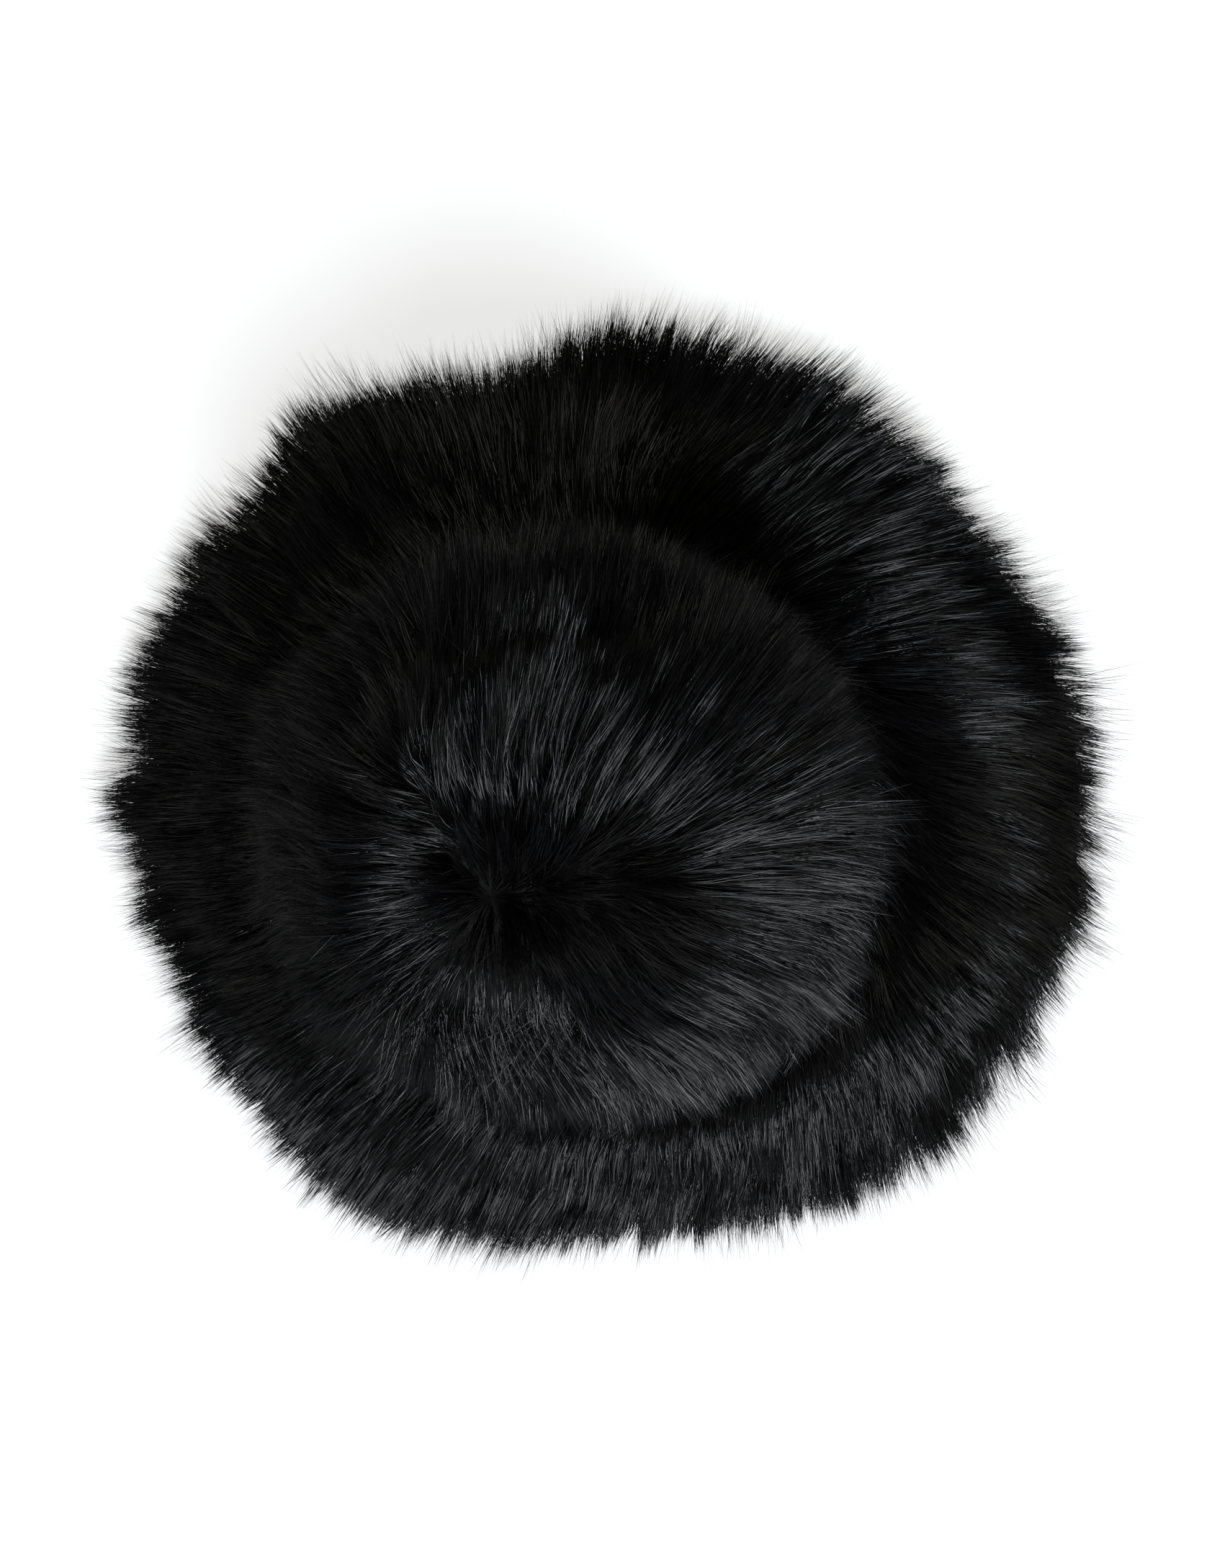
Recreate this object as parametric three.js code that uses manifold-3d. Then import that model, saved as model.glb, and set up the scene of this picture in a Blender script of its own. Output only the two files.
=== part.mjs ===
// A soft bucket hat of deep black pile fabric, lying on its brim as it would on a table.
// Millimetres, +Z up, floor at z = 0. Bearings are degrees counter-clockwise from +X, seen from above.
import * as THREE from 'three';
import { mergeVertices } from 'three/addons/utils/BufferGeometryUtils.js';
import Module from 'manifold-3d';

const wasm = await Module();
wasm.setup();

const DEG = Math.PI / 180;

// Cloth and pile
const CLOTH = 2.6; // thickness of the knitted backing with its bonded felt
const GAP = 0.3; // clear space between panels
const BED = 1.3; // clear space between a panel's cloth and its pile, whose facets cross each other
const UNDERFUR = 9; // depth of the dense short pile, which the locks grow out of
const FRINGE = 15; // how far that short pile stands out past the hem
const FOOT = 8; // width of the hem that lies flat on the floor

// The outer face of the cloth from the whorl to the hem, and past it as far as the locks reach: the distance
// from the hat's axis, the height, and how far the pile there leans outwards from upright.
const LINE = [
  { r: 0, z: 115, pile: 0 },
  { r: 13.5, z: 116.6, pile: 4 },
  { r: 29, z: 117, pile: 10 },
  { r: 48, z: 114.6, pile: 18 },
  { r: 66, z: 109, pile: 30 },
  { r: 79, z: 99, pile: 46, seam: 'tip' },
  { r: 86, z: 86.5, pile: 58 },
  { r: 90, z: 72, pile: 62 },
  { r: 92.4, z: 58, pile: 57 },
  { r: 94.6, z: 45.6, pile: 47, seam: 'side' },
  { r: 97, z: 34.5, pile: 34 },
  { r: 102, z: 25.5, pile: 20 },
  { r: 111, z: 20.5, pile: 9 },
  { r: 122, z: 18, pile: 10 },
  { r: 132, z: 13.5, pile: 18 },
  { r: 139.5, z: 7.4, pile: 25 },
  { r: 145.5, z: 2.4, pile: 25 },
  { r: 153, z: 2.2, pile: 26, seam: 'hem' },
  { r: 172, z: 1.6, pile: 38 },
  { r: 200, z: 1, pile: 48 },
];

// The hat is a little oval, its crown more so, and the soft crown tilts: it rises on one side.
const OVAL = { bearing: 14, stretch: 0.03, crown: 0.035 };
const TILT = { bearing: 55, rise: 0.13, drop: 3 };

// How far the soft crown has slid sideways, at distances from the whorl along the cloth.
const SHIFTS = [
  { from: 0, x: -13, y: -4 },
  { from: 45, x: -8, y: 2 },
  { from: 85, x: 3, y: 14 },
  { from: 112, x: 3, y: 10 },
  { from: 141, x: 0, y: 0 },
  { from: 270, x: 0, y: 0 },
];
const CENTRE = { x: 6.8, y: -7.7 }; // brings the middle of the finished hat, with its locks, to the axis

// Soft waves round the brim: where each stands, how wide it is, and how far it moves the edge out and up.
const WAVES = [
  { bearing: 32, width: 20, out: 0, up: 3 },
  { bearing: 62, width: 14, out: 2, up: -2 },
  { bearing: 84, width: 14, out: 4, up: 4 },
  { bearing: 106, width: 10, out: -9, up: 0 },
  { bearing: 126, width: 12, out: 8, up: 1 },
  { bearing: 150, width: 22, out: 4, up: 2 },
  { bearing: 184, width: 20, out: 5, up: 4 },
  { bearing: 228, width: 24, out: 7, up: -1 },
  { bearing: 274, width: 22, out: -9, up: 3 },
  { bearing: 312, width: 22, out: -5, up: 5 },
  { bearing: 350, width: 20, out: 1, up: -2 },
];

// Dents in the crown: their bearing, their distance from the whorl along the cloth, their size and depth.
const DENTS = [
  { bearing: 96, from: 60, wide: 34, long: 16, depth: 6 },
  { bearing: 300, from: 52, wide: 24, long: 22, depth: 2.5 },
  { bearing: 20, from: 116, wide: 30, long: 24, depth: 4 },
  { bearing: 350, from: 162, wide: 45, long: 18, depth: 4 },
];

// The comb of the pile: how far it turns, counter-clockwise, off the straight way down the cloth.
const CROWN_COMB = [
  { bearing: 5, turn: -12 },
  { bearing: 32, turn: 20 },
  { bearing: 56, turn: 22 },
  { bearing: 104, turn: -9 },
  { bearing: 118, turn: -19 },
  { bearing: 138, turn: 34 },
  { bearing: 168, turn: 12 },
  { bearing: 207, turn: 3 },
  { bearing: 254, turn: -24 },
  { bearing: 280, turn: -11 },
  { bearing: 307, turn: -12 },
  { bearing: 330, turn: -25 },
  { bearing: 352, turn: -27 },
];
const BRIM_COMB = [
  { bearing: 0, turn: -40 },
  { bearing: 45, turn: -30 },
  { bearing: 90, turn: 0 },
  { bearing: 135, turn: 10 },
  { bearing: 180, turn: 10 },
  { bearing: 225, turn: 0 },
  { bearing: 270, turn: -8 },
  { bearing: 315, turn: -27 },
];

// Rows of locks on each panel: how far down the panel their roots stand, as a share of it, how many there
// are, how long and thick they are, how high their tips stand off the cloth, how far they arch, how far
// each keeps its own direction past the first bend (stiff), and how soon it has risen (1 is evenly).
const LOCKS = {
  crown_tip_fur: [
    { down: 0.1, count: 6, length: 38, thick: 6, tip: 17, arch: 0, stiff: 0, rise: 2.5 },
    { down: 0.38, count: 11, length: 46, thick: 6, tip: 18, arch: 1, stiff: 0.3, rise: 2.5 },
    { down: 0.68, count: 15, length: 50, thick: 7, tip: 21, arch: 1, stiff: 0.8, rise: 2.4 },
    { down: 0.94, count: 17, length: 42, thick: 7, tip: 24, arch: 1, stiff: 1, rise: 1.4 },
  ],
  crown_side_fur: [
    { down: 0.12, count: 15, length: 38, thick: 6, tip: 16, arch: 1, stiff: 0.7, rise: 1.5 },
    { down: 0.42, count: 15, length: 36, thick: 6, tip: 12, arch: 1, stiff: 0.2, rise: 2.5 },
    { down: 0.73, count: 15, length: 34, thick: 5, tip: 10, arch: 1, stiff: 0, rise: 2.5 },
  ],
  brim_fur: [
    { down: 0.17, count: 18, length: 42, thick: 5, tip: 13, arch: 1, stiff: 0, rise: 2.5 },
    { down: 0.48, count: 20, length: 42, thick: 6, tip: 15, arch: 2, stiff: 0.1, rise: 2.5 },
    { down: 0.8, count: 25, length: 41, thick: 8, tip: 3, arch: 8, stiff: 0, rise: 1 },
  ],
};
const FIRST_BEND = 0.3; // share of a lock's length at which its own direction is set
const AHEAD = 0.12; // share of its length over which that direction is taken
const SAG = 0.25; // how far a stiff lock's tip sinks under its own weight, as a share of its length
const LOCK_ROOT = 6; // height of the locks' roots over the cloth, inside the short pile
const DIP = { length: 0.6, tip: 0.74, thick: 0.55 }; // the dip between two locks, as a share of their sizes
const LOCK_SEED = 1955;

// Fineness of the meshes
const STEPS = 28; // round the hat, the same for cloth and short pile so that the gap between them is even
const ROW_STEP = 18; // along the cloth

// The whole cloth line as one curve, whose third coordinate carries the pile's lean.
const line = new THREE.CatmullRomCurve3(LINE.map(({ r, z, pile }) => new THREE.Vector3(r, z, pile * DEG)));
const SPANS_PER_POINT = 20;
line.arcLengthDivisions = (LINE.length - 1) * SPANS_PER_POINT;
const lengths = line.getLengths();
const lineLength = line.getLength();

/** Distance from the whorl, along the cloth, to the seam of this name. */
function distanceTo(seam) {
  return lengths[LINE.findIndex((point) => point.seam === seam) * SPANS_PER_POINT];
}

const TIP_END = distanceTo('tip');
const SIDE_END = distanceTo('side');
const HEM = distanceTo('hem');
const PANELS = {
  crown_tip_fur: [0, TIP_END],
  crown_side_fur: [TIP_END, SIDE_END],
  brim_fur: [SIDE_END, HEM],
};

/** A smooth hill of height 1 at an angle of 0, in degrees, that is nearly flat past its width. */
function hill(angle, width) {
  const off = THREE.MathUtils.euclideanModulo(angle + 180, 360) - 180;
  return Math.exp(-((off / width) ** 2));
}

/** The turn that a comb table gives at this bearing. */
function combAt(table, bearing) {
  const at = THREE.MathUtils.euclideanModulo(bearing, 360);
  const next = table.findIndex((row) => row.bearing > at);
  const after = next < 0 ? { ...table[0], bearing: table[0].bearing + 360 } : table[next];
  const last = table[table.length - 1];
  const before = next === 0 ? { ...last, bearing: last.bearing - 360 } : table.at(next < 0 ? -1 : next - 1);
  const share = (at - before.bearing) / (after.bearing - before.bearing);
  return THREE.MathUtils.lerp(before.turn, after.turn, THREE.MathUtils.smoothstep(share, 0, 1));
}

/** How far the cloth has slid along X and Y at this distance from the whorl. */
function slide(from) {
  const after = THREE.MathUtils.clamp(SHIFTS.findIndex((row) => row.from > from), 1, SHIFTS.length - 1);
  const [low, high] = SHIFTS.slice(after - 1, after + 1);
  const share = THREE.MathUtils.smoothstep(from, low.from, high.from);
  return { x: THREE.MathUtils.lerp(low.x, high.x, share), y: THREE.MathUtils.lerp(low.y, high.y, share) };
}

/** The point at this distance from the whorl along the cloth, this bearing, and this height in the pile. */
function place(from, bearing, height) {
  const { x, y, z: lean } = line.getPointAt(THREE.MathUtils.clamp(from / lineLength, 0, 1));
  let r = x + height * Math.sin(lean);
  let z = y + height * Math.cos(lean);
  for (const dent of DENTS) {
    const deep = dent.depth * hill(bearing - dent.bearing, dent.wide) * hill(from - dent.from, dent.long);
    r -= deep * Math.sin(lean);
    z -= deep * Math.cos(lean);
  }
  const outward = THREE.MathUtils.smoothstep(from, SIDE_END, HEM - FOOT);
  const midway = outward * (1 - outward) * 4;
  for (const wave of WAVES) {
    const swell = hill(bearing - wave.bearing, wave.width);
    r += wave.out * swell * outward;
    z += wave.up * swell * midway;
  }
  const crown = 1 - THREE.MathUtils.smoothstep(from, TIP_END / 2, SIDE_END);
  z += (TILT.rise * r * Math.cos((bearing - TILT.bearing) * DEG) - TILT.drop) * crown;
  r *= 1 + (OVAL.stretch + OVAL.crown * crown) * Math.cos(2 * (bearing - OVAL.bearing) * DEG);
  const slid = slide(from);
  return new THREE.Vector3(
    r * Math.cos(bearing * DEG) + slid.x + CENTRE.x,
    r * Math.sin(bearing * DEG) + slid.y + CENTRE.y,
    Math.max(z, 0),
  );
}

/** Revolves a closed outline into a mesh whose shared corners are merged. */
function revolve(outline, steps) {
  const geometry = new THREE.LatheGeometry(outline, steps);
  geometry.deleteAttribute('normal');
  geometry.deleteAttribute('uv');
  return mergeVertices(geometry, 1e-4);
}

/** Lays a mesh made on a flat disc, whose radius is the distance along the cloth, onto the hat. */
function drape(geometry) {
  const points = geometry.getAttribute('position');
  for (let i = 0; i < points.count; i += 1) {
    const from = Math.hypot(points.getX(i), points.getZ(i));
    const bearing = Math.atan2(-points.getZ(i), points.getX(i)) / DEG;
    const spot = place(from, bearing, points.getY(i));
    points.setXYZ(i, spot.x, spot.y, spot.z);
  }
  return geometry;
}

/** Evenly spaced distances from one to another, both included, and one at the inner edge of the foot. */
function stations(start, end) {
  const last = end === HEM ? end - FOOT : end;
  const spans = Math.max(1, Math.round((last - start) / ROW_STEP));
  const rows = Array.from({ length: spans + 1 }, (_, i) => start + ((last - start) * i) / spans);
  return last < end ? [...rows, end] : rows;
}

/** A ring or disc of even thickness on the flat pattern, from one distance to another. */
function layer(start, end, low, high) {
  const rows = stations(start, end);
  const under = rows.map((from) => new THREE.Vector2(from, low));
  const over = rows.map((from) => new THREE.Vector2(from, high)).reverse();
  const outline = [...under, ...over];
  if (start > 0) {
    outline.push(under[0].clone());
  }
  return drape(revolve(outline, STEPS));
}

/** The short pile of the brim, which turns down past the hem and stands on the floor. */
function brimPile(start, low, high) {
  const rows = stations(start, HEM);
  const edge = HEM + GAP;
  const under = rows.map((from) => new THREE.Vector2(Math.min(from, edge), low));
  const over = rows.map((from) => new THREE.Vector2(from, high)).reverse();
  const fringe = [
    new THREE.Vector2(edge, low),
    new THREE.Vector2(edge, -CLOTH),
    new THREE.Vector2(HEM + FRINGE, -CLOTH),
    new THREE.Vector2(HEM + FRINGE, high / 2),
  ];
  return drape(revolve([...under.slice(0, -1), ...fringe, ...over, under[0].clone()], STEPS));
}

/** Turns a closed mesh into a solid, without the empty triangles that a revolved outline has on its axis. */
function solidOf(geometry) {
  const corners = geometry.index.array;
  const kept = [];
  for (let i = 0; i < corners.length; i += 3) {
    const [a, b, c] = corners.slice(i, i + 3);
    if (a !== b && b !== c && c !== a) {
      kept.push(a, b, c);
    }
  }
  const vertProperties = new Float32Array(geometry.getAttribute('position').array);
  return new wasm.Manifold(new wasm.Mesh({ numProp: 3, vertProperties, triVerts: new Uint32Array(kept) }));
}

/** A repeatable source of numbers from 0 to 1. */
function chance(seed) {
  let state = seed;
  return () => {
    state = (Math.imul(state, 1664525) + 1013904223) >>> 0;
    return state / 2 ** 32;
  };
}

/** The place on the cloth that a strand from this root reaches after this length, by following the comb. */
function combed(root, bearing, turn, length) {
  const steps = 8;
  let from = root;
  let at = bearing;
  for (let i = 0; i < steps; i += 1) {
    const comb = (turn + combAt(from < SIDE_END ? CROWN_COMB : BRIM_COMB, at)) * DEG;
    from += (length / steps) * Math.cos(comb);
    at += ((length / steps) * Math.sin(comb)) / Math.max(from, LOCK_ROOT) / DEG;
  }
  return { from, at };
}

// Section of a row of locks, from the underside of the root round the tip: the share of the length reached,
// and which face of the lock the point is on, with 0 for the tip's edge.
const LOCK_SECTION = [
  { reach: 0, face: -1 },
  { reach: 1, face: 0 },
  { reach: 0.82, face: 1 },
  { reach: 0.45, face: 1 },
  { reach: 0, face: 1 },
];

/** A point of a lock where it follows the cloth: this share of its length, this far off its middle. */
function onCloth(row, root, column, reach, off) {
  const { from, at } = combed(root, column.bearing, column.turn, column.length * reach);
  const risen = 1 - (1 - reach) ** row.rise;
  const middle = THREE.MathUtils.lerp(LOCK_ROOT, column.tip, risen) + row.arch * Math.sin(Math.PI * reach);
  return place(from, at, middle + off);
}

/** The same point once the lock's outer part runs on in its own direction as far as it is stiff. */
function lockPoint(row, root, column, reach, off) {
  const spot = onCloth(row, root, column, reach, off);
  if (row.stiff === 0 || reach <= FIRST_BEND) {
    return spot;
  }
  const bend = onCloth(row, root, column, FIRST_BEND, off);
  const ahead = onCloth(row, root, column, FIRST_BEND + AHEAD, off).sub(bend).normalize();
  const past = reach - FIRST_BEND;
  const on = bend.addScaledVector(ahead, past * column.length);
  on.z -= SAG * past * past * column.length;
  return spot.lerp(on, row.stiff);
}

/** One row of locks side by side, as a ring whose columns are by turns a ridge and the dip beside it. */
function lockRow(row, root, random, grow) {
  const columns = Array.from({ length: 2 * row.count }, (_, i) => {
    const share = i % 2 ? DIP : { length: 1, tip: 1, thick: 1 };
    const vary = (range) => 1 + range * (2 * random() - 1);
    return {
      bearing: ((i + 0.3 * (random() - 0.5)) * 180) / row.count,
      turn: 8 * (random() - 0.5),
      length: row.length * share.length * vary(0.14) + grow,
      tip: row.tip * share.tip * vary(0.1),
      thick: row.thick * share.thick * vary(0.1),
    };
  });
  const profile = LOCK_SECTION.map(({ reach, face }) => new THREE.Vector2(1 + reach, face));
  const ring = revolve([...profile, profile[0].clone()], columns.length);
  const points = ring.getAttribute('position');
  for (let i = 0; i < points.count; i += 1) {
    const reach = THREE.MathUtils.clamp(Math.hypot(points.getX(i), points.getZ(i)) - 1, 0, 1);
    const angle = Math.atan2(-points.getZ(i), points.getX(i));
    const order = Math.round((angle / (2 * Math.PI)) * columns.length);
    const column = columns[THREE.MathUtils.euclideanModulo(order, columns.length)];
    const half = (column.thick / 2) * Math.sqrt(1 - reach ** 2) + grow;
    const spot = lockPoint(row, root, column, reach, points.getY(i) * half);
    points.setXYZ(i, spot.x, spot.y, spot.z);
  }
  return solidOf(ring);
}

/** All the rows of locks of a panel joined to its short pile, or on their own and this much larger. */
function withLocks(name, pile, grow) {
  const random = chance(LOCK_SEED + Object.keys(LOCKS).indexOf(name));
  const [top, bottom] = PANELS[name];
  const level = (down) => THREE.MathUtils.lerp(top, bottom, down);
  const rows = LOCKS[name].map((row) => lockRow(row, level(row.down), random, grow));
  return rows.reduce((whole, row) => whole.add(row), pile ?? rows[0]);
}

/** The largest of a solid's separate bodies. */
function mainBody(solid) {
  return solid.decompose().reduce((best, body) => (body.volume() > best.volume() ? body : best));
}

/** A named mesh of a solid, in its own material. */
function piece(name, solid, color, roughness) {
  const { vertProperties, triVerts } = solid.getMesh();
  const geometry = new THREE.BufferGeometry();
  geometry.setAttribute('position', new THREE.BufferAttribute(vertProperties, 3));
  geometry.setIndex(new THREE.BufferAttribute(triVerts, 1));
  geometry.computeVertexNormals();
  const material = new THREE.MeshStandardMaterial({ color, roughness, metalness: 0, flatShading: true });
  const mesh = new THREE.Mesh(geometry, material);
  mesh.name = name;
  return mesh;
}

const BACKING = { color: 0x17171a, roughness: 0.92 };
const PILE = { color: 0x0c0c0e, roughness: 0.48 };

const crownTip = solidOf(layer(0, TIP_END - GAP / 2, -CLOTH, 0));
const crownSide = solidOf(layer(TIP_END + GAP / 2, SIDE_END - GAP / 2, -CLOTH, 0));
const brim = solidOf(layer(SIDE_END + GAP / 2, HEM, -CLOTH, 0));

const tipPile = solidOf(layer(0, TIP_END - GAP / 2, BED, UNDERFUR));
const sidePile = solidOf(layer(TIP_END + GAP / 2, SIDE_END - GAP / 2, BED, UNDERFUR));
const hemPile = solidOf(brimPile(SIDE_END + GAP / 2, BED, UNDERFUR));

// The upper panels' locks lie on the pile of the panel below, which makes room for them.
const tipRoom = withLocks('crown_tip_fur', null, GAP);
const sideRoom = withLocks('crown_side_fur', null, GAP);
const tipFur = mainBody(withLocks('crown_tip_fur', tipPile, 0));
const sideFur = mainBody(withLocks('crown_side_fur', sidePile, 0).subtract(tipRoom));
const brimFur = mainBody(withLocks('brim_fur', hemPile, 0).subtract(sideRoom));

const hat = new THREE.Group();
hat.name = 'hat';
hat.add(piece('crown_tip', crownTip, BACKING.color, BACKING.roughness));
hat.add(piece('crown_side', crownSide, BACKING.color, BACKING.roughness));
hat.add(piece('brim', brim, BACKING.color, BACKING.roughness));
hat.add(piece('crown_tip_fur', tipFur, PILE.color, PILE.roughness));
hat.add(piece('crown_side_fur', sideFur, PILE.color, PILE.roughness));
hat.add(piece('brim_fur', brimFur, PILE.color, PILE.roughness));

export default hat;
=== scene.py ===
"""A soft bucket hat of deep black faux fur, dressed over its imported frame."""
import logging
import math
from dataclasses import dataclass, field
from enum import Enum

import bpy
import numpy as np
from mathutils import Matrix, Vector


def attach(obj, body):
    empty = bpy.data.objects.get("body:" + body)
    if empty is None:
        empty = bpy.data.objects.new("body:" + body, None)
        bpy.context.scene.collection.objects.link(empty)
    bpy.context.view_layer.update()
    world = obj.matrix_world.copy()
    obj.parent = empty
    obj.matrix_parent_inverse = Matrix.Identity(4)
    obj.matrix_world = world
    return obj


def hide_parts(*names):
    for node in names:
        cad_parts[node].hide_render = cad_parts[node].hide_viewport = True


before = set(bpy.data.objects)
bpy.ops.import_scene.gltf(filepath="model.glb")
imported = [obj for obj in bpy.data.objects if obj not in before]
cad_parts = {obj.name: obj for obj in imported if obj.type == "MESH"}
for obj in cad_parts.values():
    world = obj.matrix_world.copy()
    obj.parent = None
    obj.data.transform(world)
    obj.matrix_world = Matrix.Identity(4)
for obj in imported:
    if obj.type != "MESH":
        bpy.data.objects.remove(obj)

LOG = logging.getLogger("hat")
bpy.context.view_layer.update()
MM = 0.001
GOLDEN = 137.507764  # degrees between neighbours that never line up
Array = np.ndarray
Colour = tuple[float, float, float]
Span = tuple[float, float]
Socket = bpy.types.NodeSocket
COOL: Colour = (0.96, 1.0, 1.06)  # the light of the key lamp
MILD: Colour = (1.03, 1.01, 0.93)  # the light of the other lamps and the room


# Small sums on arrays

def smoothstep(value: Array, low: float, high: float) -> Array:
    """Rises smoothly from 0 at low to 1 at high."""
    share = np.clip((np.asarray(value, float) - low) / (high - low), 0.0, 1.0)
    return share * share * (3.0 - 2.0 * share)


def hill(away: Array, width: float) -> Array:
    """A smooth hill of height 1 at 0. Degrees wrap round a full turn, and distances are too short to."""
    off = np.mod(np.asarray(away, float) + 180.0, 360.0) - 180.0
    return np.exp(-((off / width) ** 2))


def mixed(low: Array, high: Array, share: Array) -> Array:
    """The value at this share of the way from low to high."""
    return low + (high - low) * share


def unit(vectors: Array) -> Array:
    """Vectors of length 1, with tiny ones left tiny."""
    return vectors / np.maximum(np.linalg.norm(vectors, axis=-1, keepdims=True), 1e-12)


def toward(bearing: float, elevation: float) -> Vector:
    """The unit vector that points to this bearing and this height over the floor, both in degrees."""
    a, e = math.radians(bearing), math.radians(elevation)
    return Vector((math.cos(e) * math.cos(a), math.cos(e) * math.sin(a), math.sin(e)))


# The hat's form, the same as in its solids

class Seam(Enum):
    """Where the panels end, from the top down."""

    TIP = "tip"
    SIDE = "side"
    HEM = "hem"


@dataclass(frozen=True)
class CutPoint:
    """A point of the cloth's outline: distance from the axis, height, and lean of the pile from upright."""

    r: float
    z: float
    pile: float
    seam: Seam | None = None


@dataclass(frozen=True)
class Wave:
    """A soft wave of the brim: where it stands, how wide it is, how far it moves the edge out and up."""

    bearing: float
    width: float
    out: float
    up: float


@dataclass(frozen=True)
class Dent:
    """A dent in the crown: bearing, distance from the whorl, size both ways, and depth."""

    bearing: float
    along: float
    wide: float
    long: float
    depth: float


@dataclass(frozen=True)
class Shift:
    """How far the soft crown has slid sideways at a distance along the cloth."""

    along: float
    x: float
    y: float


@dataclass
class HatForm:
    """The cloth of the hat as one surface that is measured along the cloth, round the hat and up the pile.

    Distances are millimetres, bearings are degrees counter-clockwise from +X, and placed points are metres.
    The oval stretches the hat along one bearing, the tilt lifts the crown towards another, and the brim's
    waves are full from its foot on.
    """

    line: tuple[CutPoint, ...] = (
        CutPoint(0, 115, 0),
        CutPoint(13.5, 116.6, 4),
        CutPoint(29, 117, 10),
        CutPoint(48, 114.6, 18),
        CutPoint(66, 109, 30),
        CutPoint(79, 99, 46, Seam.TIP),
        CutPoint(86, 86.5, 58),
        CutPoint(90, 72, 62),
        CutPoint(92.4, 58, 57),
        CutPoint(94.6, 45.6, 47, Seam.SIDE),
        CutPoint(97, 34.5, 34),
        CutPoint(102, 25.5, 20),
        CutPoint(111, 20.5, 9),
        CutPoint(122, 18, 10),
        CutPoint(132, 13.5, 18),
        CutPoint(139.5, 7.4, 25),
        CutPoint(145.5, 2.4, 25),
        CutPoint(153, 2.2, 26, Seam.HEM),
        CutPoint(172, 1.6, 38),
        CutPoint(200, 1, 48),
    )
    waves: tuple[Wave, ...] = (
        Wave(32, 20, 0, 3),
        Wave(62, 14, 2, -2),
        Wave(84, 14, 4, 4),
        Wave(106, 10, -9, 0),
        Wave(126, 12, 8, 1),
        Wave(150, 22, 4, 2),
        Wave(184, 20, 5, 4),
        Wave(228, 24, 7, -1),
        Wave(274, 22, -9, 3),
        Wave(312, 22, -5, 5),
        Wave(350, 20, 1, -2),
    )
    dents: tuple[Dent, ...] = (
        Dent(96, 60, 34, 16, 6),
        Dent(300, 52, 24, 22, 2.5),
        Dent(20, 116, 30, 24, 4),
        Dent(350, 162, 45, 18, 4),
    )
    oval_bearing: float = 14.0
    oval_stretch: float = 0.03
    oval_crown: float = 0.035
    shifts: tuple[Shift, ...] = (
        Shift(0, -13, -4),
        Shift(45, -8, 2),
        Shift(85, 3, 14),
        Shift(112, 3, 10),
        Shift(141, 0, 0),
        Shift(270, 0, 0),
    )
    tilt_bearing: float = 55.0
    tilt_rise: float = 0.13
    tilt_drop: float = 3.0
    centre_x: float = 6.8
    centre_y: float = -7.7
    cloth: float = 2.6
    foot: float = 8.0
    samples: int = 40
    feel: Span = (0.5, 2.0)
    table: Array = field(init=False, repr=False)
    seams: dict[Seam, float] = field(init=False, repr=False)

    def __post_init__(self) -> None:
        """Lays a smooth line through the outline's points and measures it."""
        points = np.array([(p.r, p.z, math.radians(p.pile)) for p in self.line])
        first = 2 * points[0] - points[1]
        last = 2 * points[-1] - points[-2]
        held = np.vstack([first, points, last])
        share = np.linspace(0.0, 1.0, self.samples + 1)[:-1, None]
        spans = [self.span(held[i : i + 4], share) for i in range(len(points) - 1)]
        curve = np.vstack([*spans, points[-1:]])
        steps = np.linalg.norm(np.diff(curve, axis=0), axis=1)
        along = np.concatenate([[0.0], np.cumsum(steps)])
        self.table = np.column_stack([along, curve])
        self.seams = {p.seam: float(along[i * self.samples]) for i, p in enumerate(self.line) if p.seam}

    @staticmethod
    def span(four: Array, share: Array) -> Array:
        """One stretch of the line, between the second and third of four points.

        Args:
            four: The four points that steer the stretch.
            share: The shares of the stretch to give points for.

        Returns:
            One row for each share.
        """
        d0, d1, d2 = (math.sqrt(np.linalg.norm(four[i + 1] - four[i])) for i in range(3))
        x0, x1, x2, x3 = four
        t1 = ((x1 - x0) / d0 - (x2 - x0) / (d0 + d1) + (x2 - x1) / d1) * d1
        t2 = ((x2 - x1) / d1 - (x3 - x1) / (d1 + d2) + (x3 - x2) / d2) * d1
        square = -3 * x1 + 3 * x2 - 2 * t1 - t2
        cube = 2 * x1 - 2 * x2 + t1 + t2
        return x1 + t1 * share + square * share**2 + cube * share**3

    def radius(self, along: Array) -> Array:
        """The distance from the axis at these distances along the cloth."""
        return np.interp(along, self.table[:, 0], self.table[:, 1])

    def slide(self, along: Array) -> tuple[Array, Array]:
        """How far the cloth has slid sideways.

        Args:
            along: Distances from the whorl along the cloth.

        Returns:
            How far it has slid along X and along Y.
        """
        stops = np.array([(s.along, s.x, s.y) for s in self.shifts])
        after = np.clip(np.searchsorted(stops[:, 0], along, side="right"), 1, len(stops) - 1)
        low, high = stops[after - 1], stops[after]
        share = smoothstep((along - low[..., 0]) / (high[..., 0] - low[..., 0]), 0.0, 1.0)
        return mixed(low[..., 1], high[..., 1], share), mixed(low[..., 2], high[..., 2], share)

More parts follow.
